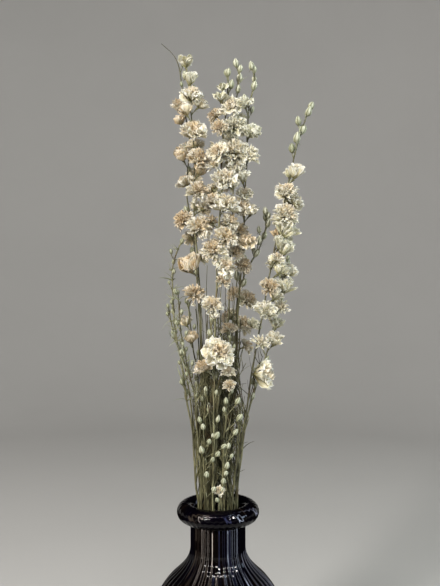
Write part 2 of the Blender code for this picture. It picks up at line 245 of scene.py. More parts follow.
def optic_rib_tree():
    """Presses ribs into the outside of a turned body, as a dip mould does."""
    inputs = dict.fromkeys(("Ribs", "Depth_Share", "Lip_Share", "Lean"), "Float")
    tree, add, given = new_tree("optic_ribs", **inputs)
    normal = add("InputNormal")
    x, y, z = add("SeparateXYZ", add("InputPosition")).node.outputs
    flat = add("CombineXYZ", x, y)
    radius = add("VectorMath.LENGTH", flat)
    outward = add("VectorMath.NORMALIZE", flat)
    faces_out = add("VectorMath.DOT_PRODUCT", normal, outward)
    lean = add("MapRange", z, *LEANING, 0.0, given["Lean"], **SMOOTH)
    turn = add("Math.ARCTAN2", y, x)
    turn = add("Math.ADD", turn, lean)
    phase = add("Math.MULTIPLY", turn, given["Ribs"])
    wave = add("Math.COSINE", phase)
    crest = add("Math.MULTIPLY_ADD", wave, 0.5, 0.5)
    # The depth falls to nothing on the inside and at the foot, and is less on the lip.
    depth = add("Math.MULTIPLY", radius, given["Depth Share"])
    depth = add("MapRange", faces_out, -0.7, 0.1, 0.0, depth, **SMOOTH)
    depth = add("MapRange", z, *FOOT_FADE, 0.0, depth, **SMOOTH)
    softened = add("MapRange", z, *LIP_SOFTENING, 1.0, given["Lip Share"], **SMOOTH)
    depth = add("Math.MULTIPLY", depth, softened)
    below = add("Math.SUBTRACT", crest, 1.0)
    sunk = add("Math.MULTIPLY", below, depth)
    offset = add("VectorMath.SCALE", normal, sunk)
    moved = add("SetPosition", given["Geometry"], Offset=offset)
    kept = add("StoreNamedAttribute", moved, Name="rib_crest", Value=crest)
    end_tree(add, kept, given["Finish"])
    return tree


def new_material(name):
    """An empty material, how to add to it, and the place on its piece."""
    made = bpy.data.materials.new(name)
    made.use_nodes = True
    made.node_tree.nodes.clear()
    add = partial(add_node, made.node_tree)
    return made, add, add("TexCoord", result="Object")


def end_material(add, **inputs):
    """Closes a material with one shader."""
    add("OutputMaterial", add("BsdfPrincipled", **inputs))


def layered(add, colour, *layers):
    """A colour with others laid over it.

    A layer is its share and its colour. For the share it may have a value and the two ends between which the
    share rises with it, and then the lowest and the highest share if they aren't 0 and 1.
    """
    for *share, upper in layers:
        if len(share) > 1:
            share = [add("MapRange", *share, **SMOOTH)]
        colour = add("Mix", *share, colour, upper, data_type="RGBA")
    return colour


# Black amethyst glass, blown and fire-polished: a mirror-like skin over a body that passes almost no light.
# Painted lines of amber and violet light on the ribs' crests stand for light getting through the ribs, and a
# painted brown glow at the thin lip's rim stands for light through the thin glass. The lines are about 0.6 mm
# wide, broken over 20 to 30 mm.
glass, add, spot = new_material("black_amethyst_glass")
drawn = add("Mapping", spot, Scale=(1, 1, 0.25))
cloud = add("TexNoise", drawn, Scale=90.0, Detail=3.0)
patch = add("TexNoise", drawn, Scale=45.0, Detail=1.0)
smear = add("TexNoise", spot, Scale=55.0, Detail=4.0)
crest = add("Attribute", attribute_name="rib_crest", result="Fac")
# Painted highlight: thin amber and violet lines on the rib crests, which stand for light getting through the
# ribs.
painted_crest_mask = add("Math.POWER", crest, 14.0)
painted_crest_light = layered(add, "#1A192E", (patch, 0.42, 0.6, "#2B221D"))
# Painted glow: brown on the thin lip's rim, strongest at grazing angles, which stands for light getting
# through the thin glass.
facing_out = add("LayerWeight", 0.3, result="Facing")
height = add("SeparateXYZ", spot, result="Z")
thin = add("MapRange", height, 0.186, 0.199, 0.1, 1.0, **SMOOTH)
# The glass's own near-black tone, with the painted highlight lines and the painted rim glow laid over it.
body = layered(
    add,
    "#030206",
    (patch, 0.4, 0.62, "#060404"),
    (cloud, 0.5, 0.75, 0.0, painted_crest_mask, painted_crest_light),
    (facing_out, 0.6, 1.0, 0.0, thin, "#382619"),
)
polish = add("MapRange", smear, 0.45, 0.8, 0.03, 0.10, **SMOOTH)
end_material(add, Base_Color=body, Roughness=polish, IOR=1.52, Specular_IOR_Level=0.2)

vase = grown(
    "ribbed_vase",
    turned_mesh("ribbed_vase", vase_outline(), RIBS * RIB_FACETS),
    optic_rib_tree(),
    ribs=float(RIBS),
    depth_share=RIB_DEPTH_SHARE,
    lip_share=LIP_RIB_SHARE,
    lean=RIB_LEAN,
    finish=glass,
)
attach(vase, "root")
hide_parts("vase")

# ---- The stems -------------------------------------------------------------------------------------------
# Cut larkspur shoots, dried hanging. Each is a thin hollow stalk, ribbed along its length, that has shrunk
# and twisted a little. They stand on the vase's floor in two rings and lean the same way round, so none
# crosses another.

OUTER_RING = 19.4
INNER_RING = 10.5
OUTER_FEET = 32.0
INNER_FEET = 20.0
SPIRAL = math.radians(50)  # how far round its foot stands from its place in the neck
GAP = 0.3  # between its foot and the floor
STEM_RADIUS = 1.35
STEM_FACETS = 10
RIB_HEIGHT = 0.16  # of a stem's radius
TIP_SHARE = 0.45  # the radius of its tip over that of its foot
STEM_STEP = 5.0
SCAR_SWELLING = 0.22
SCAR_WAVE = 4.6  # a leaf scar every 29 mm
BARE_START = 4.2  # above its buds it ends bare, and thins over this length by this share
BARE_LENGTH = 14.0
BARE_THINNING = 0.5
WANDER = ((0.35, 17.0), (0.2, 7.0), (0.35, 19.0), (0.2, 8.0))  # how far, over what height: x twice, y twice
STALK_RADIUS = 0.5
STALK_FLARE = (1.25, 1.0, 1.0, 1.1, 1.6, 2.4, 3.2)  # a floret's stalk widens into its cup
STALK_TURN = 0.5  # how far before its end a stalk turns, of its length
STALK_RISE = 0.12  # how far it bows upwards there, of its length
CUP_END = 0.26  # how far a floret's cup stands past its stalk, of its width
FLORET_FILL = 0.84  # of its heart's width
FLORET_MIDDLE = 0.62  # how far behind its middle its stalk ends, of that
FLORET_DROP = 9.0  # how far below its middle its stalk leaves the stem

# Each stem has its ring and bearing at the neck, and the places it passes above that. A floret is its middle,
# the width of its heart, the spread of its petals, how far it has browned (below zero it is still green) and
# its habit. Buds are their lowest and highest height, their spacing, how far the lowest one reaches, their
# length and their ripeness. Set buds are single ones, at the place where their stalk ends. A floret without
# a habit is a pompon.
STEMS = {
    "left_spike": dict(
        ring=INNER_RING, bearing=165, buds=(600, 613, 13, 1.0, 9.0, 0.4),
        line=[
            (-13, 2, 250), (-15, 0, 300), (-17, -3, 350), (-18, -5, 400), (-21, -6, 450), (-24, -7, 500),
            (-24, -8, 555), (-28, -8, 600), (-31, -8, 628),
        ],
        florets=[
            (-32, -9, 632, 9, 16, -0.35, "tulip"), (-27, -15, 614, 13, 18, -0.35, "brush"),
            (-25, -17, 600, 17, 22, 0.05, "fan"), (-17, -12, 592, 12, 18, 0.1, "fan"),
            (-32, -14, 584, 12, 21, 0.4, "cup"), (-23, -23, 563, 24, 26, 0.35, "fan"),
            (-17, -14, 541, 20, 26, 0.6), (-17, -6, 527, 14, 19, 0.7, "cup"),
            (-34, -9, 516, 15, 18, 0.45, "fan"), (-18, -22, 508, 23, 25, 0.35), (-12, 1, 493, 15, 17, 0.4),
            (-17, -23, 473, 23, 26, 0.35), (-28, -20, 430, 21, 31, 0.7, "cup"), (-22, 6, 556, 13, 18, 0.5),
        ],
    ),
    "left_back_spike": dict(
        ring=OUTER_RING, bearing=111, buds=(420, 630, 21, 1.3, 8.0, 0.2),
        line=[
            (-10, 19, 250), (-13, 18, 300), (-16, 17, 350), (-20, 16, 400), (-24, 14, 450), (-28, 12, 485),
            (-32, 10, 515), (-29, 9, 555), (-33, 8, 590), (-36, 7, 615), (-39, 5, 634), (-45, 2, 646),
            (-57, -2, 656),
        ],
        florets=[
            (-37, -4, 594, 16, 20, 0.5, "fan"), (-39, 4, 579, 12, 17, 0.8, "cup"),
            (-36, -5, 542, 17, 23, 0.75, "cup"), (-37, 0, 482, 18, 22, 0.7), (-30, 20, 604, 12, 15, 0.4),
            (-22, 20, 578, 14, 17, 0.5), (-33, 22, 556, 14, 17, 0.4), (-24, 25, 528, 15, 19, 0.5),
            (-20, 24, 496, 14, 18, 0.3), (-29, 28, 466, 15, 19, 0.6), (-16, 27, 446, 13, 17, 0.4),
        ],
    ),
    "middle_spike": dict(
        ring=INNER_RING, bearing=-115, buds=(592, 620, 13, 1.0, 10.0, 0.4),
        line=[
            (-5, -12, 250), (-4, -14, 300), (-3, -15, 350), (-2, -14, 400), (0, -13, 450), (3, -12, 500),
            (3, -8, 530), (6, -2, 565), (9, 0, 600), (10, -1, 624),
        ],
        florets=[
            (2, -12, 597, 11, 14, -0.5, "tulip"), (5, -8, 608, 9, 12, -0.6, "tulip"),
            (-4, -11, 583, 12, 18, 0.65), (1, -22, 569, 13, 17, 0.6),
            (-1, -20, 546, 15, 23, 0.3, "rosette"), (-4, -21, 532, 13, 17, 0.1, "star"),
            (8, -27, 515, 24, 27, 0.0, "fan"), (-6, -21, 497, 15, 19, 0.5, "fan"),
            (8, -25, 491, 19, 27, 0.0, "fan"), (9, -25, 463, 17, 24, 0.35), (13, -23, 478, 13, 20, 0.3),
            (-5, -28, 451, 24, 26, 0.3), (8, -28, 435, 21, 25, 0.3, "rosette"), (6, -27, 420, 13, 16, 0.5),
            (-6, 4, 512, 13, 16, 0.5), (-9, 0, 478, 13, 17, 0.9),
        ],
    ),
    "centre_back_spike": dict(
        ring=INNER_RING, bearing=85, buds=(602, 628, 13, 1.0, 10.0, 0.7),
        line=[
            (3, 12, 250), (6, 13, 300), (9, 13, 350), (11, 13, 400), (13, 12, 450), (15, 10, 500),
            (15, 8, 550), (17, 7, 590), (20, 6, 618), (22, 6, 630),
        ],
        florets=[
            (13, -13, 593, 19, 23, -0.05, "rosette"), (15, -11, 574, 19, 26, -0.25),
            (15, -14, 548, 24, 32, -0.1), (16, -9, 529, 16, 23, -0.15, "fan"), (26, -2, 436, 14, 20, 0.5),
            (18, -12, 448, 12, 18, 0.4), (21, -8, 470, 13, 20, 0.4), (9, 18, 604, 12, 15, 0.2),
            (24, 20, 586, 13, 17, 0.0), (12, 22, 566, 14, 18, 0.2), (21, 24, 544, 15, 19, 0.1),
            (10, 24, 520, 14, 19, 0.5), (22, 26, 500, 15, 19, 0.3), (9, 26, 478, 14, 18, 0.6),
            (20, 28, 458, 15, 19, 0.6), (8, 28, 434, 14, 18, 0.6),
        ],
    ),
    "middle_right_spike": dict(
        ring=INNER_RING, bearing=20, buds=(582, 624, 10, 1.1, 9.5, 0.6),
        line=[
            (13, 5, 250), (16, 6, 300), (19, 6, 350), (21, 5, 400), (25, 4, 450), (27, 3, 490),
            (28, 2, 525), (29, 1, 560), (31, -1, 590), (36, -4, 615), (36, -5, 626),
        ],
        florets=[
            (26, -14, 592, 14, 18, -0.4, "fan"), (31, -10, 565, 17, 23, -0.45, "fan"),
            (31, -14, 544, 18, 23, -0.2, "star"), (24, -12, 518, 13, 18, -0.2, "brush"),
            (26, -10, 504, 13, 18, 0.0, "fan"), (24, -14, 487, 17, 24, 0.3, "fan"),
            (34, -5, 487, 14, 19, 0.1, "cup"), (27, -12, 456, 17, 22, 0.6, "fan"),
        ],
    ),
    "right_spike": dict(
        ring=OUTER_RING, bearing=-44, buds=(540, 582, 9, 0.8, 11.5, 0.25),
        line=[
            (20, -14, 245), (29, -14, 300), (37, -13, 350), (46, -12, 400), (53, -11, 435), (59, -10, 465),
            (67, -9, 505), (73, -8, 530), (80, -8, 558), (86, -7, 578), (90, -7, 588),
        ],
        florets=[
            (76, -18, 521, 16, 21, -0.1, "brush"), (67, -21, 505, 16, 22, 0.1, "fan"),
            (76, -12, 496, 11, 18, -0.1, "fan"), (68, -22, 485, 20, 26, 0.0),
            (67, -18, 464, 17, 24, -0.5, "brush"), (66, -15, 446, 15, 22, -0.5, "brush"),
            (58, -21, 440, 9, 14, 0.2, "fan"), (51, -24, 415, 16, 20, 0.6),
            (46, -24, 389, 17, 24, -0.2, "fan"), (42, -24, 360, 14, 18, -0.05, "star"),
            (72, 3, 524, 9, 14, -0.3, "brush"), (73, 2, 501, 12, 18, 0.0), (63, 2, 482, 13, 19, 0.1),
            (66, 3, 458, 14, 20, -0.3, "fan"), (57, 2, 438, 13, 18, 0.1),
            (58, -7, 464, 10, 13, 0.9, "brush"), (61, -17, 427, 12, 19, -0.4, "brush"),
            (60, -19, 452, 10, 18, -0.4, "brush"), (56, -20, 402, 10, 18, -0.3, "brush"),
        ],
    ),
    "right_low_spike": dict(
        ring=OUTER_RING, bearing=27, buds=(320, 438, 12, 1.2, 8.0, 0.2),
        line=[
            (22, 9, 240), (30, 9, 285), (41, 8, 320), (50, 6, 350), (57, 4, 380), (62, 2, 405),
            (66, 0, 428), (69, -1, 440),
        ],
        florets=[
            (69, -8, 428, 13, 20, -0.2, "fan"), (66, -9, 409, 15, 22, -0.3, "brush"),
            (62, -11, 394, 13, 18, -0.1, "star"), (58, -7, 374, 12, 17, -0.4, "brush"),
            (56, -7, 357, 12, 20, -0.1, "brush"), (62, 12, 416, 11, 17, -0.1), (54, 15, 388, 12, 17, 0.1),
        ],
    ),
    "right_edge_stem": dict(
        ring=OUTER_RING, bearing=-12, buds=(296, 312, 14, 0.8, 7.0, 0.2),
        line=[(23, -4, 245), (29, -4, 285), (35, -4, 308), (37, -4, 314)],
        florets=[(34, -11, 334, 24, 30, -0.05, "side")],
    ),
    "back_spike": dict(
        ring=OUTER_RING, bearing=84, buds=(300, 416, 13, 1.3, 7.0, 0.1),
        line=[(6, 21, 250), (11, 22, 300), (16, 22, 350), (20, 20, 385), (22, 18, 405), (23, 17, 418)],
        florets=[
            (31, 13, 402, 18, 25, 0.35), (28, 15, 376, 17, 23, 0.35), (37, 12, 374, 11, 17, -0.4, "fan"),
            (31, 19, 354, 13, 17, 0.4), (10, 24, 384, 14, 20, 0.5), (16, 12, 408, 13, 19, 0.5),
        ],
    ),
    "short_spike": dict(
        ring=INNER_RING, bearing=-50, buds=(290, 360, 14, 1.0, 7.0, 0.1),
        line=[(9, -9, 250), (11, -8, 300), (12, -6, 340), (12, -5, 362)],
        florets=[(11, -6, 374, 14, 18, 0.6)],
    ),
    "front_spike": dict(
        ring=OUTER_RING, bearing=-102, buds=(262, 386, 14, 1.2, 7.0, 0.5),
        line=[(-4, -23, 250), (-4, -26, 300), (-3, -28, 330), (-6, -29, 370), (-8, -29, 388)],
        florets=[
            (3, -43, 354, 30, 32, 0.2, "rosette"), (-5, -39, 398, 20, 22, 0.15),
            (-3, -39, 384, 10, 11, -0.1, "tulip"), (-15, -34, 336, 15, 19, 0.7, "fan"),
        ],
    ),
    "left_low_spike": dict(
        ring=OUTER_RING, bearing=136, buds=(300, 392, 13, 1.2, 7.0, 0.1),
        line=[(-16, 13, 240), (-18, 10, 290), (-21, 6, 330), (-25, 3, 350), (-28, 2, 375), (-29, 0, 394)],
        florets=[
            (-27, -9, 361, 17, 20, 0.8, "cup"), (-22, -15, 409, 19, 22, 0.6),
            (-33, 12, 376, 12, 15, 0.5, "brush"),
        ],
    ),
    "left_shoot": dict(
        ring=OUTER_RING, bearing=-174, buds=(300, 456, 10, 1.2, 8.0, 0.0),
        line=[
            (-22, -3, 220), (-25, -4, 265), (-31, -4, 300), (-36, -4, 340), (-42, -3, 365), (-45, -2, 400),
            (-45, -2, 430), (-41, -2, 448), (-37, -2, 457),
        ],
        florets=[],
    ),
    "left_outer_shoot": dict(
        ring=OUTER_RING, bearing=160, buds=(306, 391, 9, 1.2, 7.5, 0.0),
        line=[(-21, 8, 240), (-28, 9, 300), (-35, 11, 338), (-43, 12, 358), (-47, 12, 375), (-50, 11, 392)],
        florets=[],
    ),
    "left_inner_shoot": dict(
        ring=OUTER_RING, bearing=-146, buds=(300, 405, 10, 1.2, 7.5, 0.0),
        line=[
            (-17, -13, 240), (-22, -15, 300), (-31, -17, 340), (-36, -17, 370), (-38, -16, 395),
            (-39, -15, 406),
        ],
        florets=[],
    ),
    "right_shoot": dict(
        ring=OUTER_RING, bearing=55, buds=(408, 481, 6, 1.1, 10.5, 1.2),
        line=[
            (13, 17, 250), (15, 17, 300), (17, 16, 350), (20, 16, 400), (25, 16, 420), (32, 15, 436),
            (39, 13, 446), (44, 10, 458), (48, 8, 472), (50, 7, 482),
        ],
        florets=[],
    ),
    "front_shoot": dict(
        ring=OUTER_RING, bearing=-78, buds=(286, 312, 9, 1.1, 7.0, 0.2),
        line=[(4, -22, 220), (6, -24, 260), (9, -26, 300), (12, -27, 316)],
        florets=[
            (10, -34, 334, 13, 15, 0.3), (11, -34, 321, 12, 14, 0.45), (1, -32, 217, 8, 12, 0.2, "fan"),
        ],
        set_buds=[
            (17, -28, 300), (15, -29, 271), (18, -28, 284), (12, -30, 249), (8, -30, 239), (7, -31, 232),
            (5, -32, 225), (4, -31, 217), (9, -31, 258), (0, -30, 207),
        ],
    ),
    "centre_shoot": dict(
        ring=OUTER_RING, bearing=-125, buds=(276, 306, 10, 1.3, 7.0, 0.2),
        line=[(-12, -18, 240), (-13, -21, 280), (-12, -23, 308)],
        florets=[],
        set_buds=[
            (-3, -30, 268), (3, -30, 258), (-2, -31, 251), (-6, -31, 246), (-14, -26, 275), (-5, -32, 218),
            (-15, -24, 252), (-9, -29, 262), (-11, -27, 230),
        ],
    ),
}


def stem_places(stem):
    """The places a stem passes through, from its foot on the vase's floor to its tip."""
    bearing = math.radians(stem["bearing"])
    feet = OUTER_FEET if stem["ring"] == OUTER_RING else INNER_FEET
    foot = Vector((feet * math.cos(bearing + SPIRAL), feet * math.sin(bearing + SPIRAL), FLOOR + GAP))
    neck = Vector((stem["ring"] * math.cos(bearing), stem["ring"] * math.sin(bearing), LIP_HEIGHT))
    return [foot, foot.lerp(neck, 0.5), neck] + [Vector(place) for place in stem["line"]]


def smooth_line(places, spacing):
    """Points along one smooth curve through the places."""
    ends = [2 * places[0] - places[1]] + places + [2 * places[-1] - places[-2]]
    line = []
    for before, start, end, after in zip(ends, ends[1:], ends[2:], ends[3:]):
        count = max(1, round((end - start).length / spacing))
        square = 2 * before - 5 * start + 4 * end - after
        cube = 3 * start - before - 3 * end + after
        for i in range(count):
            t = i / count
            line.append(0.5 * (2 * start + (end - before) * t + square * t**2 + cube * t**3))
    return line + [places[-1]]


def at_height(line, height):
    """Where a stem's line is at a height."""
    for low, high in zip(line, line[1:]):
        if low.z <= height <= high.z:
            return low.lerp(high, (height - low.z) / (high.z - low.z))
    return line[-1].copy()


def floret_places(line, floret):
    """Where a floret's stalk leaves the stem, where it ends, and the way the floret faces."""
    middle, width = Vector(floret[:3]), floret[3] * FLORET_FILL
    start = at_height(line, middle.z - FLORET_DROP)
    facing = (middle - start).normalized()
    return start, middle - facing * width * FLORET_MIDDLE, facing


class Strands:
    """Gathers the lines of one piece's tubes, with the radius and tint at each point."""

    def __init__(self, name):
        self.name = name
        self.points, self.edges, self.radii, self.tints = [], [], [], []

    def add(self, line, radii, tint):
        first = len(self.points)
        self.points += [place * MM for place in line]
        self.edges += [(first + i, first + i + 1) for i in range(len(line) - 1)]
        self.radii += [radius * MM for radius in radii]
        self.tints += [tint] * len(line)

    def mesh(self):
        mesh = bpy.data.meshes.new(self.name)
        mesh.from_pydata(self.points, self.edges, [])
        return with_attributes(mesh, strand_radius=self.radii, tint=self.tints)


def ribbed_strand_tree():
    """Sweeps a fluted round along each line, at its own radius."""
    tree, add, given = new_tree("ribbed_strands", Facets="Int", Rib_Height="Float")
    curve = add("MeshToCurve", given["Geometry"])
    circle = add("CurvePrimitiveCircle", Resolution=given["Facets"])
    every_other = add("Math.MODULO", add("InputIndex"), 2.0)
    valley = add("Math.MULTIPLY", every_other, given["Rib Height"])
    height = add("Math.SUBTRACT", 1.0, valley)
    inward = add("VectorMath.SCALE", add("InputPosition"), height)
    fluted = add("SetPosition", circle, Position=inward)
    radius = add("InputNamedAttribute", Name="strand_radius")
    swept = add("CurveToMesh", curve, fluted, Scale=radius, Fill_Caps=True)
    end_tree(add, swept, given["Finish"])
    return tree


# Dried stem: matt, fibrous skin. Long streaks of olive, straw and grey-brown follow the ribs, 1 to 2 mm wide
# and some 30 mm long, and each stem has dried to its own tint.
stem_skin, add, spot = new_material("dried_stem_skin")
drawn = add("Mapping", spot, Scale=(1, 1, 0.05))
streaks = add("TexNoise", drawn, Scale=700.0, Detail=3.0)
blotches = add("TexNoise", spot, Scale=60.0, Detail=3.0)
tint = add("Attribute", attribute_name="tint", result="Fac")
straw = layered(add, "#55543A", (streaks, 0.35, 0.65, "#9E9C7A"))
skin = layered(
    add,
    "#24230F",
    (streaks, 0.35, 0.65, "#676547"),
    (tint, straw),
    (tint, 0.0, -0.5, "#1D1E0B"),
    (blotches, 0.55, 0.75, 0.0, 0.6, "#5A452B"),
)
fibres = add("Bump", Strength=0.35, Distance=0.0004, Height=streaks)
end_material(add, Base_Color=skin, Roughness=0.72, Specular_IOR_Level=0.25, Normal=fibres)

strand_tree = ribbed_strand_tree()
chance = random.Random(7)


def bowed(start, end, facing, count=len(STALK_FLARE) - 1):
    """A stalk's line: it leaves the stem along it and turns to carry its flower."""
    length = (end - start).length
    turn = end - facing * length * STALK_TURN + Vector((0, 0, length * STALK_RISE))
    shares = [i / count for i in range(count + 1)]
    return [start * (1 - t) ** 2 + turn * 2 * t * (1 - t) + end * t * t for t in shares]


def withered(line):
    """A line with the slight wander that drying gives."""
    shifts = [chance.uniform(0, 6.28) for _ in WANDER]
    moved = [line[0]]
    for place in line[1:]:
        waves = [far * math.sin(place.z / over + shift) for (far, over), shift in zip(WANDER, shifts)]
        moved.append(place + Vector((waves[0] + waves[1], waves[2] + waves[3], 0)))
    return moved


def stem_radii(line, stem, swell):
    """The radius at each point of a stem: swollen at its leaf scars and thin where it ends bare."""
    radii = []
    for i, place in enumerate(line):
        scar = 1 + SCAR_SWELLING * max(0.0, math.cos(place.z / SCAR_WAVE + 3 * swell)) ** 12
        taper = 1 + (TIP_SHARE - 1) * i / (len(line) - 1)
        bare = max(0.0, min(1.0, (place.z - stem["buds"][1] - BARE_START) / BARE_LENGTH))
        radii.append(STEM_RADIUS * swell * scar * taper * (1 - BARE_THINNING * bare))
    return radii


stem_lines = {}
stem_strands = {}
for name, stem in STEMS.items():
    line = withered(smooth_line(stem_places(stem), STEM_STEP))
    strands = Strands("stem_and_stalks_" + name)
    tint = chance.uniform(-0.12, 0.85)
    strands.add(line, stem_radii(line, stem, chance.uniform(0.88, 1.12)), tint)
    for floret in stem["florets"]:
        start, base, facing = floret_places(line, floret)
        stalk = bowed(start, base + facing * CUP_END * floret[3], facing)
        strands.add(stalk, [STALK_RADIUS * flare for flare in STALK_FLARE], tint + 0.2)
    stem_lines[name] = line
    stem_strands[name] = strands

# ---- Buds and bracts -------------------------------------------------------------------------------------
# Unopened flowers: five sepals closed over each other in a pointed egg, with a short spur behind. They dry
# pale green with darker seams. Each sits on a thin stalk with a narrow bract at its foot.

BUD_REACH = 3.0
BUD_RISE = 5.5
SET_BUD_LENGTH = 8.4
BUD_SLIMNESS = 0.62  # its width over its length
BUD_SIDES = 10
BUD_RINGS = 7
SEAM_DEPTH = 0.12
SPUR_ROOT = Vector((-0.12, 0, 0.2))
SPUR_RADIUS = 0.07
SPUR_END = (-0.42, 0, -0.12)
SPUR_HEART = (0, 0, 0.35)
BUD_SHAPES = 3
SLIM_BUD = 2
UNRIPE_SHARE = 0.85  # an unripe shoot's buds are smaller
LEAFY_BRACTS = 3  # more at each bud of an unripe shoot
BRACT_RINGS = 6
BRACT_WIDTH = 0.12
BRACT_THICKNESS = 0.04
BRACT_DROOP = 0.25
BRACT_SHARE = 1.1  # a bract's length over its bud's
FLORET_BRACT = 9.5
STALK_BRACT = 4.5
BARE_TIP = 12.0
GOLDEN_ANGLE = math.radians(137.5)


def bud_mesh(name, bulge, spur):
    """A closed bud of length 1, standing on its stalk, with its sepals' seams pressed in."""
    bm = bmesh.new()
    bottom = bm.verts.new((0, 0, 0))
    seams = [0.3]
    loops = []
    for ring in range(1, BUD_RINGS):
        t = ring / BUD_RINGS
        width = BUD_SLIMNESS * math.sin(math.pi * t**bulge) ** 0.75
        loops.append([])
        for side in range(BUD_SIDES):
            turn = math.tau * side / BUD_SIDES
            radius = 0.5 * width * (1 - SEAM_DEPTH * (side % 2))
            loops[-1].append(bm.verts.new((radius * math.cos(turn), radius * math.sin(turn), t)))
            seams.append(side % 2)
    top = bm.verts.new((0, 0, 1))
    seams.append(0)
    for side in range(BUD_SIDES):
        after = (side + 1) % BUD_SIDES
        bm.faces.new((bottom, loops[0][after], loops[0][side]))
        bm.faces.new((top, loops[-1][side], loops[-1][after]))
        for low, high in zip(loops, loops[1:]):
            bm.faces.new((low[side], low[after], high[after], high[side]))
    if spur:
        round_it = [Vector((math.cos(turn), math.sin(turn), 0)) * SPUR_RADIUS for turn in (0, 2.1, 4.2)]
        back = [bm.verts.new(SPUR_ROOT + aside) for aside in round_it]
        end = bm.verts.new(SPUR_END)
        inner = bm.verts.new(SPUR_HEART)
        seams += [0.4] * 5
        for corner, after in zip(back, back[1:] + back[:1]):
            bm.faces.new((corner, after, end))
            bm.faces.new((after, corner, inner))
    return closed_mesh(name, bm, along=[vertex.co.z for vertex in bm.verts], seam=seams)


def bract_mesh(name, curl):
    """A thin, pointed, closed strip of length 1 that curls over at its tip."""
    bm = bmesh.new()
    rows = []
    for ring in range(BRACT_RINGS):
        t = ring / BRACT_RINGS
        out = BRACT_THICKNESS / 2
        half = BRACT_WIDTH / 2 * (1 - t) ** 0.6
        centre = Vector((curl * t * t, 0, t - BRACT_DROOP * curl * t * t))
        corners = ((0, -half, 0), (out, 0, 0), (0, half, 0), (-out, 0, 0))
        rows.append([bm.verts.new(centre + Vector(corner)) for corner in corners])
    tip = bm.verts.new((curl, 0, 1 - BRACT_DROOP * curl))
    for i, j in ((0, 1), (1, 2), (2, 3), (3, 0)):
        for low, high in zip(rows, rows[1:]):
            bm.faces.new((low[i], low[j], high[j], high[i]))
        bm.faces.new((rows[-1][i], rows[-1][j], tip))
    bm.faces.new(rows[0])
    heights = [vertex.co.z for vertex in bm.verts]
    return closed_mesh(name, bm, along=heights, seam=[0.4] * len(heights))


def shape_kit(name, meshes):
    """A collection of shapes for a tree to choose from."""
    kit = bpy.data.collections.new(name)
    for i, mesh in enumerate(meshes):
        kit.objects.link(bpy.data.objects.new(f"{name}_{i}", mesh))
    return kit


def seed_mesh(name, seeds):
    """Points with the attributes that the growing trees read. Each seed is a dict with a place."""
    mesh = bpy.data.meshes.new(name)
    mesh.from_pydata([seed["place"] * MM for seed in seeds], [], [])
    labels = [label for label in seeds[0] if label != "place"]
    return with_attributes(mesh, **{label: [seed[label] for seed in seeds] for label in labels})


def turned(add, rotation, *angles):
    """A rotation with one more about its own axes."""
    further = add("EulerToRotation", add("CombineXYZ", *angles))
    return add("RotateRotation", rotation, further, rotation_space="LOCAL")


def stood(add, points, kit, index, rotation, size):
    shapes = add("CollectionInfo", kit, Separate_Children=True, Reset_Children=True)
    return add(
        "InstanceOnPoints",
        Points=points,
        Instance=shapes,
        Pick_Instance=True,
        Instance_Index=index,
        Rotation=rotation,
        Scale=size,
    )


def bud_tree():
    """Stands a bud on each point, turned to its facing and twisted at random."""
    tree, add, given = new_tree("buds_on_stalks", Shapes="Collection", Seed="Int")
    facing = add("InputNamedAttribute", Name="facing", data_type="FLOAT_VECTOR")
    size = add("InputNamedAttribute", Name="size")
    shape = add("InputNamedAttribute", Name="shape")
    aimed = add("AlignRotationToVector", Vector=facing, axis="Z")
    twist = add("RandomValue", 0.0, math.tau, Seed=given["Seed"])
    growth = add("RandomValue", 0.82, 1.15, Seed=11)
    size = add("Math.MULTIPLY", size, growth)
    buds = stood(add, given["Geometry"], given["Shapes"], shape, turned(add, aimed, 0.0, 0.0, twist), size)
    end_tree(add, buds, given["Finish"])
    return tree


# Dried sepal: thin and matt, pale grey-green that yellows towards the tip, with darker olive seams and stalk
# end. Brown spots lie 2 to 3 mm apart.
sepal, add, spot = new_material("dried_green_sepal")
along, seam, ripeness = (
    add("Attribute", attribute_name=label, result="Fac") for label in ("along", "seam", "ripeness")
)
mottle = add("TexNoise", spot, Scale=420.0, Detail=3.0)
skin = layered(
    add,
    layered(add, "#686B4A", (along, 0.0, 0.8, "#9A9F86")),
    (ripeness, layered(add, "#96967A", (along, 0.0, 0.7, "#D2D4C0"))),
    (seam, 0.45, 1.0, "#5B5F3C"),
    (mottle, 0.5, 0.8, 0.0, 0.5, "#7E6B45"),
)
end_material(add, Base_Color=skin, Roughness=0.7)

bud_kit = shape_kit(
    "bud_shapes",
    [
        bud_mesh("tight_bud", 0.9, True),
        bud_mesh("round_bud", 0.75, True),
        bud_mesh("slim_bud", 1.1, False),
        bract_mesh("bract", 0.5),
        bract_mesh("curled_bract", 1.0),
    ],
)


def bud_feet(line, stem, number):
    """Each bud's stalk and length: first those that wind up the stem, then the listed ones."""
    lowest, highest, spacing, spread, length, _ = stem["buds"]
    feet = []
    for i in range(int((highest - lowest) / spacing) + 1):
        height = lowest + i * spacing
        start = at_height(line, height)
        reach = BUD_REACH * (spread + (1 - spread) * (height - lowest) / (highest - lowest))
        turn = GOLDEN_ANGLE * i + 1.7 * number
        end = start + Vector((reach * math.cos(turn), reach * math.sin(turn), BUD_RISE))
        feet.append((start, end, length))
    for place in stem.get("set_buds", []):
        end = Vector(place)
        feet.append((at_height(line, end.z - 2 * BUD_RISE), end, SET_BUD_LENGTH))
    return feet


def bud_seed(place, facing, size, shape, ripeness):
    """What the tree needs to know of one bud or bract."""
    facing = facing.normalized()
    return dict(place=place, facing=facing, size=size * MM, shape=float(shape), ripeness=ripeness)


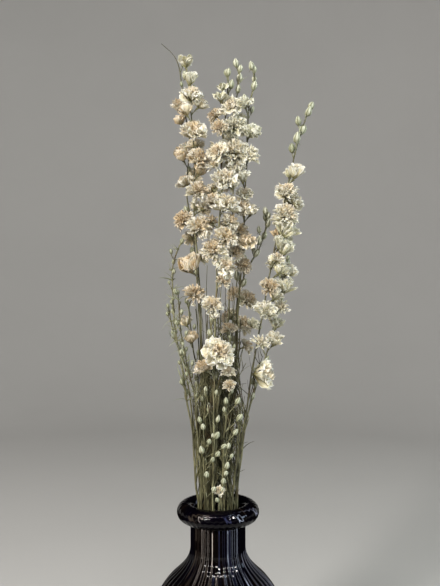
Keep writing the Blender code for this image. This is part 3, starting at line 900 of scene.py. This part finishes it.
def bud_seeds(line, stem, number, strands):
    """A stem's buds, each with its bracts and its stalk, and the bracts of its florets."""
    _, highest, *_, ripeness = stem["buds"]
    unripe = ripeness <= 0
    seeds = []
    for i, (start, end, length) in enumerate(bud_feet(line, stem, number)):
        along_stem = (at_height(line, start.z + 6) - at_height(line, start.z - 4)).normalized()
        facing = (end - start + along_stem * 6).normalized()
        strands.add(bowed(start, end + facing * 0.4, facing, 4), [STALK_RADIUS * 0.8] * 5, 0.6)
        size = (length + chance.uniform(-1.6, 1.0)) * (UNRIPE_SHARE if unripe else 1.0)
        ripe = ripeness + chance.uniform(-0.2, 0.3)
        seeds.append(bud_seed(end, facing, size, SLIM_BUD if unripe else i % BUD_SHAPES, ripe))
        turn = math.atan2(end.y - start.y, end.x - start.x)
        foot = start + Vector((math.cos(turn), math.sin(turn), 0.3))
        upwards = facing + Vector((0, 0, 0.7))
        seeds.append(bud_seed(foot, upwards, size * BRACT_SHARE, BUD_SHAPES + i % 2, 0.3 * ripe))
        for _ in range(LEAFY_BRACTS if unripe else 0):
            turn += chance.uniform(1.2, 2.4)
            away = Vector((math.cos(turn), math.sin(turn), chance.uniform(0.1, 1.6)))
            seeds.append(bud_seed(start, away, size * chance.uniform(1.3, 2.3), BUD_SHAPES + 1, 0.0))
    tip = (line[-1] - line[-2]).normalized()
    if line[-1].z < highest + BARE_TIP:
        seeds.append(bud_seed(line[-1] - tip, tip, 0.9 * length, SLIM_BUD, ripeness))
    for floret in stem["florets"]:
        start, base, facing = floret_places(line, floret)
        upwards = (facing + Vector((0, 0, 0.9))).normalized()
        seeds.append(bud_seed(start + upwards, upwards, FLORET_BRACT, BUD_SHAPES, 0.2))
        sideways = facing.cross(Vector((0, 0, 1))).normalized()
        place = start.lerp(base, 0.75)
        for away in (sideways, -sideways):
            seeds.append(bud_seed(place, facing * 0.5 + away, STALK_BRACT, BUD_SHAPES + 1, 0.3))
    return seeds


buds_on_stalks = bud_tree()
for number, (name, stem) in enumerate(STEMS.items()):
    strands = stem_strands[name]
    seeds = seed_mesh("bud_seeds", bud_seeds(stem_lines[name], stem, number, strands))
    buds = grown("buds_" + name, seeds, buds_on_stalks, shapes=bud_kit, seed=number, finish=sepal)
    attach(buds, "root")
    lines = strands.mesh()
    shape = dict(facets=STEM_FACETS, rib_height=RIB_HEIGHT)
    stalks = grown(strands.name, lines, strand_tree, **shape, finish=stem_skin)
    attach(stalks, "root")
    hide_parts("stem_" + name)

# ---- Thread-like leaves ----------------------------------------------------------------------------------
# A larkspur leaf is a long thin stalk that ends in a tuft of soft green threads. Dried, the stalks stand
# close along the stems and the tufts tangle with their neighbours', thickest just above the vase.

LEAF_STALK_RADIUS = 0.55
LEAF_STALK_STEPS = 8
LEAF_STALK_REACH = (14, 75)
THREAD_RADIUS = 0.34
THREAD_STEPS = 6
THREAD_FEET = (3, 5, 7, 8)  # the points of its stalk that a thread may leave from
THREAD_REACH = (9, 26)
LEAF_GAP = 7.5
LEAF_ZONE = (188.0, 330.0)
LEAFLESS_TOP = 45.0  # of a stem's length
LEAFY_REACH = 28.0  # stems that lean further out than this have dropped their leaves
INNER_STALKS = (7, 0.8, 290, 450)  # beside a stem of the bunch's middle: count, radius, lowest, highest tip
OUTER_STALKS = (3, 0.65, 265, 350)
MIDDLE_REACH = 20.0
BARE_STALK_FEET = (185, 235)
BARE_STALK_STEPS = 12
LEAF_GATHER = 0.98  # how much nearer the bunch's middle each next point lies
BUNCH_LEAN = 0.03  # how far the bunch's middle moves to the right with height
LEAF_FACETS = 4


def grown_path(start, direction, length, steps, curve):
    """A wiry line that wanders and keeps inside the bunch."""
    bend_axis = direction.cross(Vector((0, 0, 1))).normalized()
    wind = chance.uniform(-0.3, 0.3)
    place = start.copy()
    path = [start]
    for _ in range(steps):
        onwards = Matrix.Rotation(curve * chance.uniform(0.3, 1.4), 3, bend_axis)
        direction = Matrix.Rotation(wind, 3, "Z") @ onwards @ direction
        place = place + direction * length / steps
        middle = Vector((BUNCH_LEAN * (place.z - LEAF_ZONE[0]), 0))
        place.xy = middle + (place.xy - middle) * LEAF_GATHER
        path.append(place.copy())
    return path


def heading_in(inwards, lowest, highest):
    """A way that points roughly to the bunch's middle, and up by between these slopes."""
    heading = inwards + chance.gauss(0, 1.0)
    return Vector((math.cos(heading), math.sin(heading), chance.uniform(lowest, highest))).normalized()


def add_leaf(threads, start):
    """A leaf stalk with its tuft of threads."""
    inwards = math.atan2(-start.y, BUNCH_LEAN * (start.z - LEAF_ZONE[0]) - start.x)
    upwards = heading_in(inwards, 3.0, 9.0)
    reach = chance.uniform(*LEAF_STALK_REACH)
    stalk = grown_path(start, upwards, reach, LEAF_STALK_STEPS, chance.uniform(-0.08, 0.05))
    tint = chance.uniform(-0.4, 0.55)
    threads.add(stalk, [LEAF_STALK_RADIUS * (1 - 0.045 * k) for k in range(len(stalk))], tint)
    crowd = (LEAF_ZONE[1] - start.z) / (LEAF_ZONE[1] - LEAF_ZONE[0])
    for _ in range(4 + round(5 * crowd)):
        away = heading_in(inwards, 0.8, 4.5)
        foot = stalk[chance.choice(THREAD_FEET)]
        length = chance.uniform(*THREAD_REACH)
        thread = grown_path(foot, away, length, THREAD_STEPS, chance.uniform(-0.22, 0.22))
        threads.add(thread, [THREAD_RADIUS * (1.2 - 0.13 * k) for k in range(len(thread))], tint)


def bare_stalk(line, lowest_tip, highest_tip):
    """A leaf stalk without its leaf, which runs up beside a stem and fills the bunch's middle."""
    low = chance.uniform(*BARE_STALK_FEET)
    high = max(low + 60, min(chance.uniform(lowest_tip, highest_tip), line[-1].z - 60))
    turn = chance.uniform(0, math.tau)
    wind = chance.uniform(-1, 1)
    away = Vector((math.cos(turn), math.sin(turn), 0)) * chance.uniform(2.5, 6.5)
    stalk = []
    for k in range(BARE_STALK_STEPS + 1):
        share = k / BARE_STALK_STEPS
        aside = Matrix.Rotation(1.5 * wind * share, 3, "Z") @ away * (share**0.6 + 1.2 * share**4)
        place = at_height(line, low + (high - low) * share) + aside
        place.xy *= 1 - 0.12 * share
        stalk.append(place)
    return withered(stalk)


threads = Strands("thread_leaves")
for line in stem_lines.values():
    top = min(LEAF_ZONE[1], line[-1].z - LEAFLESS_TOP)
    for i in range(int((top - LEAF_ZONE[0]) / LEAF_GAP)):
        start = at_height(line, LEAF_ZONE[0] + (i + chance.random()) * LEAF_GAP)
        if math.hypot(start.x - BUNCH_LEAN * (start.z - LEAF_ZONE[0]), start.y) <= LEAFY_REACH:
            add_leaf(threads, start)
for line in stem_lines.values():
    inner = abs(at_height(line, LEAF_ZONE[1]).x) < MIDDLE_REACH
    count, thickness, lowest_tip, highest_tip = INNER_STALKS if inner else OUTER_STALKS
    for _ in range(count):
        stalk = bare_stalk(line, lowest_tip, highest_tip)
        radii = [thickness * (1 - 0.65 * k / BARE_STALK_STEPS) for k in range(len(stalk))]
        threads.add(stalk, radii, chance.uniform(-0.4, 0.5))
lines = threads.mesh()
leaves = grown(threads.name, lines, strand_tree, facets=LEAF_FACETS, rib_height=0.0, finish=stem_skin)
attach(leaves, "root")

# ---- Florets ---------------------------------------------------------------------------------------------
# Double flowers. Many narrow petals stand out from a small cup on all sides, so that an open one is a pompon
# and a young one a shaving brush. Dried, they are as thin as tissue, folded and crumpled, with pale rims.

PETAL_ROWS = 5
PETAL_LINE_STEPS = 40
PETAL_THICKNESS = 0.014  # of its length
PETAL_REACH = 0.57  # of the floret's spread
FEWEST_PETALS = 36  # of a pompon as crowded as 1, and more of them with its spread
PETALS_PER_MM = 1.8
INNER_COSINE = 0.99
PETAL_FEET = 0.9  # how far up its cup its petals spring
LOOSE_FLORET = 16.0  # a floret this wide is a piece of its own
HABITS = {
    "pompon": (-0.25, 1.15, 1.0, 0.85, (0, 0, 0.1), 1.1, (1.0, 2.6, 2.3)),
    "rosette": (-0.2, 0.75, 1.0, 0.6, (0, 0, 0), 0.6, (0.0, 0.7, 1.3)),
    "fan": (0.2, 0.9, 1.12, 0.95, (0, 0, 0.7), 1.0, (0.0, 2.4, 3.4)),
    "side": (0.5, 0.5, 1.25, 1.0, (1.2, 0.1, -0.75), 0.7, (0.8, 0.6, 1.6)),
    "star": (0.0, 0.55, 1.1, 0.8, (0, 0, 0.2), 1.0, (3.0, 0.0, 2.9)),
    "brush": (0.62, 0.6, 1.35, 1.0, (0, 0, 1.2), 1.0, (2.0, 1.4, 1.5)),
    "tulip": (0.93, 0.25, 1.75, 0.9, (0, 0, 1.5), 0.2, (7.0, 0.0, 0.0)),
    "cup": (0.3, 0.42, 1.2, 0.9, (0, 0, 0.9), 0.2, (6.0, 0.0, 1.9)),
}
CRUMPLE_SIZE = 3.8 * MM
CRUMPLE_DEPTH = 1.8 * MM
TIP_ROUNDNESS = 0.13
RIM_ANGLE = 2.0  # two faces that meet more sharply than this (radians) are the petal's two sides


def petal_line(arch, curl):
    """The petal's middle line, which arches inwards and curls out at the tip, with its lean at each point."""
    line = [Vector((0, 0, 0))]
    leans = [0.0]
    for i in range(PETAL_LINE_STEPS):
        v = (i + 0.5) / PETAL_LINE_STEPS
        leans.append(-arch * v + curl * v**3)
        line.append(line[-1] + Vector((math.sin(leans[-1]), 0, math.cos(leans[-1]))) / PETAL_LINE_STEPS)
    return line, leans


def petal_mesh(name, width, arch, curl, fold, ruffle, pleat, phase, columns=4):
    """A closed petal of length 1 along +Z, with its outer face towards +X and its sides folded inwards."""
    bm = bmesh.new()
    flat_places = []
    line, leans = petal_line(arch, curl)

    def corner(column, row, side):
        across = 2 * column / columns - 1
        along = (row / PETAL_ROWS) ** 0.85
        # Narrow at its foot, widest at seven tenths of its length, and rounded at its tip.
        half = 0.5 * width * (0.15 + 0.85 * math.sin(math.pi * 0.76 * along**1.2))
        at = (along - TIP_ROUNDNESS * across**2 * along**3) * PETAL_LINE_STEPS
        low = min(int(at), PETAL_LINE_STEPS - 1)
        outward = Vector((math.cos(leans[low + 1]), 0, -math.sin(leans[low + 1])))
        # Folded sides, two sizes of ruffle that grow towards the tip, and pleats along it.
        out = -fold * half * abs(across) ** 1.5
        out += ruffle * along**1.3 * abs(across) * math.sin(phase + 2.4 * across + 7.0 * along)
        out += 0.6 * ruffle * along**3 * math.sin(2 * phase + columns * across)
        out += (pleat if column % 2 else -pleat) * along
        if 0 < column < columns and 0 < row < PETAL_ROWS:
            out += side * PETAL_THICKNESS * (1 - across**2)
        flat_places.append((across, along, 0.0))
        middle = line[low].lerp(line[low + 1], at - low)
        return bm.verts.new(middle + outward * out + Vector((0, across * half, 0)))

    outer = [[corner(c, r, 1) for c in range(columns + 1)] for r in range(PETAL_ROWS + 1)]
    inner = [row[:] for row in outer]
    for r in range(1, PETAL_ROWS):
        for c in range(1, columns):
            inner[r][c] = corner(c, r, -1)
    for rows, way in ((outer, 1), (inner, -1)):
        for low, high in zip(rows, rows[1:]):
            for c in range(columns):
                bm.faces.new([low[c], low[c + 1], high[c + 1], high[c]][::way])
    return closed_mesh(name, bm, RIM_ANGLE, petal_frame=flat_places)


def floret_tree():
    """Grows a dome of petals on each point, from the outermost in."""
    tree, add, given = new_tree("double_florets", Shapes="Collection", Seed="Int")
    facing = add("InputNamedAttribute", Name="facing", data_type="FLOAT_VECTOR")
    labels = ("petals", "outer_cosine", "roll", "reach", "inner_length")
    dome_values = (add("InputNamedAttribute", Name=label) for label in labels)
    petals, outer_cosine, roll, reach, inner_length = dome_values
    labels = ("shape_first", "shape_run", "shape_mix")
    shape_first, shape_run, shape_mix = (add("InputNamedAttribute", Name=label) for label in labels)
    # What chance gives each petal, with a seed of its own for each thing.
    limits = ((-0.25, 0.25), (-0.4, 0.4), (-0.35, 0.35), (-1.0, 1.0), (0.84, 1.08), (0.0, 1.0), (0.0, 1.0))
    draws = []
    for i, (low, high) in enumerate(limits):
        seed = add("Math.ADD", given["Seed"], 100.0 * i)
        draws.append(add("RandomValue", low, high, Seed=seed))
    tilt_shift, turn_shift, lean, roll_share, growth, hue, shape_share = draws

    points = add("DuplicateElements", given["Geometry"], Amount=petals, domain="POINT")
    number = points.node.outputs["Duplicate Index"]
    last = add("Math.SUBTRACT", petals, 1.0)
    share = add("Math.DIVIDE", number, last)
    # Equal steps of the tilt's cosine spread the petals evenly over the dome.
    cosine = add("MapRange", share, 0.0, 1.0, outer_cosine, INNER_COSINE)
    tilt = add("Math.ADD", add("Math.ARCCOSINE", cosine), tilt_shift)
    turn = add("Math.MULTIPLY_ADD", number, GOLDEN_ANGLE, turn_shift)
    roll = add("Math.MULTIPLY", roll, roll_share)
    rotation = add("AlignRotationToVector", Vector=facing, axis="Z")
    rotation = turned(add, turned(add, rotation, lean, tilt, turn), 0.0, 0.0, roll)
    shrunk = add("MapRange", share, 0.0, 1.0, 1.0, inner_length)
    length = add("Math.MULTIPLY", reach, growth)
    length = add("Math.MULTIPLY", length, shrunk)
    run = add("Math.MULTIPLY", shape_mix, shape_share)
    run = add("Math.MULTIPLY_ADD", share, shape_run, run)
    shape = add("Math.FLOOR", add("Math.ADD", run, shape_first))
    for label, value in (("depth_in", share), ("petal_hue", hue)):
        points = add("StoreNamedAttribute", points, Name=label, Value=value)
    dome = add("RealizeInstances", stood(add, points, given["Shapes"], shape, rotation, length))
    noise = add("TexNoise", add("InputPosition"), Scale=1 / CRUMPLE_SIZE, Detail=1.0, result="Color")
    centred = add("VectorMath.SUBTRACT", noise, (0.5, 0.5, 0.5))
    shift = add("VectorMath.SCALE", centred, CRUMPLE_DEPTH)
    crumpled = add("SetPosition", dome, Offset=shift)
    end_tree(add, crumpled, given["Finish"])
    return tree


# Dried petal: tissue-thin and matt, ivory at its rim and greenish straw at its foot, where it is also painted
# darker olive and brown as shade deep in the floret. Fine veins run along it, about half a millimetre apart.
# Old ones turn beige and peach, in blotches a few millimetres across.
petal, add, spot = new_material("dried_petal_tissue")
frame_place = add("Attribute", attribute_name="petal_frame", result="Vector")
across, along, _ = add("SeparateXYZ", frame_place).node.outputs
hue, depth_in, browning = (
    add("Attribute", attribute_name=label, result="Fac") for label in ("petal_hue", "depth_in", "browning")
)
blotches = add("TexNoise", spot, Scale=190.0, Detail=4.0)
stretched = add(
    "CombineXYZ",
    add("Math.MULTIPLY", across, 6.0),
    add("Math.MULTIPLY", along, 1.8),
    add("Math.MULTIPLY", hue, 9.0),
)
veins = add("TexNoise", stretched, Scale=1.0, Detail=3.0)
# The rim at the tip and the sides, where the tissue is palest.
squared = add("Math.POWER", across, 2.0)
up = add("Math.MULTIPLY_ADD", squared, -0.3, along)
aside = add("Math.ABSOLUTE", across)
side = add("MapRange", aside, 0.75, 1.0, **SMOOTH)
side = add("MapRange", along, 0.2, 0.6, 0.0, side, **SMOOTH)
tip = add("MapRange", along, 0.84, 1.0, **SMOOTH)
edge = add("Math.MAXIMUM", tip, side)
dull_edge = add("Math.MULTIPLY", edge, 0.6)
# Painted shade: the dark olive and brown at each petal's foot are partly its greenish straw and partly shade
# deep inside the floret.
ivory = layered(add, "#676128", (up, -0.02, 0.68, "#D6D0B6"), (edge, "#F8F7EE"))
beige = layered(add, "#645026", (up, -0.02, 0.87, "#C6AC89"), (dull_edge, "#EDDFC6"))
aged = add("Math.MULTIPLY_ADD", hue, 0.35, browning)
aged = add("Math.MULTIPLY_ADD", blotches, 0.8, aged)
heart = add("MapRange", browning, -0.4, 0.2, 0.0, 0.6, **SMOOTH)
# Young petals are green, most of all along the middle.
middle = add("Math.SUBTRACT", 1.0, aside)
midrib = add("Math.POWER", middle, 4.0)
midrib = add("Math.MULTIPLY_ADD", midrib, 0.7, 0.3)
young = add("MapRange", browning, 0.0, -0.5, 0.12, 0.75, **SMOOTH)
green_share = add("Math.MULTIPLY", midrib, young)
tissue = layered(
    add,
    ivory,
    (aged, 0.65, 1.65, beige),
    (depth_in, 0.35, 0.85, 0.0, heart, "#D2B488"),
    (veins, 0.48, 0.68, 0.0, 0.45, "#94804F"),
    (green_share, "#9EA37C"),
)
folds = add("Bump", Strength=0.5, Distance=0.0005, Height=veins)
end_material(
    add,
    Base_Color=tissue,
    Roughness=0.75,
    Subsurface_Weight=0.35,
    Subsurface_Radius=(1.0, 0.9, 0.7),
    Subsurface_Scale=0.0015,
    Normal=folds,
)

petal_kit = shape_kit(
    "petal_shapes",
    [
        petal_mesh("broad_petal", 0.74, 1.1, 1.6, 0.2, 0.2, 0.02, 0.4, columns=8),
        petal_mesh("ruffled_petal", 0.36, 1.2, 1.5, 0.3, 0.14, 0.03, 2.1),
        petal_mesh("pleated_petal", 0.26, 1.2, 1.0, 0.5, 0.13, 0.04, 1.2),
        petal_mesh("folded_petal", 0.19, 1.0, 1.1, 0.9, 0.12, 0.03, 3.7),
        petal_mesh("narrow_petal", 0.145, 0.8, 1.0, 0.6, 0.11, 0.02, 4.4),
        petal_mesh("hooked_petal", 0.18, 1.6, 0.7, 0.6, 0.13, 0.03, 5.0),
        petal_mesh("cup_petal", 0.80, 1.5, 0.3, 0.7, 0.04, 0.01, 0.9, columns=6),
        petal_mesh("closed_petal", 0.5, 1.8, 0.2, 0.7, 0.05, 0.01, 2.7, columns=6),
    ],
)
double_florets = floret_tree()


def floret_seed(line, floret):
    """What the tree needs to know of one floret."""
    _, base, facing = floret_places(line, floret)
    width, spread, browning, *habit = floret[3:]
    outer_cosine, crowding, length, inner_length, nod, roll, shapes = HABITS[habit[0] if habit else "pompon"]
    return dict(
        place=base + facing * PETAL_FEET * CUP_END * width,
        facing=(facing + Vector(nod)).normalized(),
        reach=spread * PETAL_REACH * length * MM,
        inner_length=inner_length,
        petals=float(round((FEWEST_PETALS + PETALS_PER_MM * spread) * crowding)),
        outer_cosine=outer_cosine,
        browning=browning,
        roll=roll,
        shape_first=shapes[0],
        shape_run=shapes[1],
        shape_mix=shapes[2],
    )


number = 0
for name, stem in STEMS.items():
    small = []
    loose = 0
    for floret in stem["florets"]:
        seed = floret_seed(stem_lines[name], floret)
        if floret[3] < LOOSE_FLORET:
            small.append(seed)
            continue
        loose += 1
        number += 1
        place = seed_mesh("floret_seed", [seed])
        label = f"flower_{name}_{loose}"
        flower = grown(label, place, double_florets, shapes=petal_kit, seed=number, finish=petal)
        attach(flower, "root")
        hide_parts(f"floret_{name}_{loose}")
    if small:
        places = seed_mesh("floret_seeds", small)
        label = "small_flowers_" + name
        flowers = grown(label, places, double_florets, shapes=petal_kit, seed=50 + number, finish=petal)
        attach(flowers, "root")

# ---- The studio ------------------------------------------------------------------------------------------
# A pale paper floor that turns up all round into a tall plain wall. Large soft lights stand at the front
# left, the front and the right, and a weak one lights the wall.

floor_outline = [(0, 0), (700, 0), (1100, 0), (1400, 0)]
floor_outline += arc((1400, 1200), (1200, 1200), -90, 0, 24)[1:] + [(2600, 2700)]
floor = placed("pale_floor", turned_mesh("pale_floor", floor_outline, 96))
floor.data.shade_smooth()
paper, add, spot = new_material("pale_floor_paper")
grain = add("TexNoise", spot, Scale=3.0, Detail=2.0)
pulp = layered(add, "#B6B5B4", (grain, "#BCBBBA"))
end_material(add, Base_Color=pulp, Roughness=0.9, Specular_IOR_Level=0.0)
floor.data.materials.append(paper)


def soft_light(name, place, aim, size, power, colour, only_in_gloss=False):
    """A rectangular light turned to a point, unseen by the camera. It lights all but gloss, or only gloss."""
    lamp = bpy.data.lights.new(name, "AREA")
    lamp.shape = "RECTANGLE"
    lamp.size, lamp.size_y = size
    lamp.energy = power
    lamp.color = linear(colour)[:3]
    made = placed(name, lamp)
    made.location = place
    made.rotation_euler = (Vector(aim) - Vector(place)).to_track_quat("-Z", "Y").to_euler()
    made.visible_camera = False
    made.visible_glossy = only_in_gloss
    made.visible_diffuse = not only_in_gloss


soft_light("warm_key", (-0.95, -1.2, 1.15), (0, 0, 0.4), (0.5, 0.5), 42.0, "#FFFAF4")
soft_light("front_fill", (0.3, -1.9, 0.95), (0, 0, 0.4), (1.0, 1.0), 9.0, "#FCFAF4")
soft_light("cool_side", (1.25, -0.55, 0.85), (0, 0, 0.35), (0.5, 0.8), 16.0, "#E8F2EE")
soft_light("far_wash", (0.4, 0.5, 2.4), (0.2, 1.9, 0.3), (1.2, 0.8), 6.5, "#F4F4F6")

# A dark cloth all round, which shows only in gloss and keeps black glass black.
cloth_outline = [(320, 1), (2400, 1), (2400, 2600), (5, 2600)]
cloth = placed("dark_cloth", turned_mesh("dark_cloth", cloth_outline, 48))
velvet, add, spot = new_material("black_velvet")
nap = add("TexNoise", spot, Scale=900.0)
end_material(add, Base_Color=layered(add, "#0A0A0C", (nap, "#161618")), Specular_IOR_Level=0.0)
cloth.data.materials.append(velvet)
cloth.visible_camera = cloth.visible_diffuse = cloth.visible_transmission = cloth.visible_shadow = False

# Upright strips of light and small lamps round the vase, which draw the lines and sparks in its gloss.
STRIPS = [  # compass angle, distance, lowest, highest, width, power, colour
    (-140, 0.45, 0.0, 1.3, 0.024, 4.0, "#FFEFE2"),
    (-165, 0.5, 0.0, 1.3, 0.10, 0.85, "#FFE2C4"),
    (-62, 0.45, 0.0, 1.2, 0.05, 0.8, "#A9B4FF"),
    (-25, 0.45, 0.0, 1.3, 0.03, 3.4, "#DCE8FF"),
    (40, 0.6, 0.0, 1.2, 0.10, 0.8, "#DDE4FF"),
    (-10, 0.80, 0.40, 0.58, 0.12, 1.0, "#CFE4FF"),
]
LAMPS = [  # compass angle, distance, height
    (-125, 1.9, 1.9), (-100, 1.5, 2.2), (-75, 1.5, 2.2), (-50, 1.9, 1.8), (-50, 1.6, 1.1), (-120, 1.6, 0.9),
]
LAMP_SHARE = 0.05  # a lamp's width over its distance
LAMP_POWER = 4.3  # at one metre
SHOULDER_PLACE = (0, 0, 0.17)


def round_the_vase(compass, distance, height):
    """A place at a compass angle, a distance and a height."""
    turn = math.radians(compass)
    return (distance * math.cos(turn), distance * math.sin(turn), height)


for number, (compass, distance, low, high, width, power, colour) in enumerate(STRIPS):
    place = round_the_vase(compass, distance, (low + high) / 2)
    soft_light(f"strip_{number}", place, (0, 0, place[2]), (width, high - low), power, colour, True)
for number, (compass, distance, height) in enumerate(LAMPS):
    place = round_the_vase(compass, distance, height)
    size = (LAMP_SHARE * distance, LAMP_SHARE * distance)
    soft_light(f"small_lamp_{number}", place, SHOULDER_PLACE, size, LAMP_POWER * distance**2, "#FFFBF4", True)

world = bpy.data.worlds.new("pale_sky")
bpy.context.scene.world = world
world.use_nodes = True
sky = world.node_tree.nodes["Background"]
sky.inputs["Color"].default_value = linear("#DAD8CE")
sky.inputs["Strength"].default_value = 0.17

lens = bpy.data.cameras.new("camera")
lens.lens = 44.0
lens.sensor_width = 36.0
camera = placed("camera", lens)
camera.location = (0.002, -0.716, 0.4075)
camera.rotation_euler = (math.radians(90), 0, 0)
bpy.context.scene.camera = camera
bpy.context.scene.view_settings.view_transform = "Standard"

for kit in (petal_kit, bud_kit):
    for shape in list(kit.objects):
        bpy.data.objects.remove(shape)
    bpy.data.collections.remove(kit)
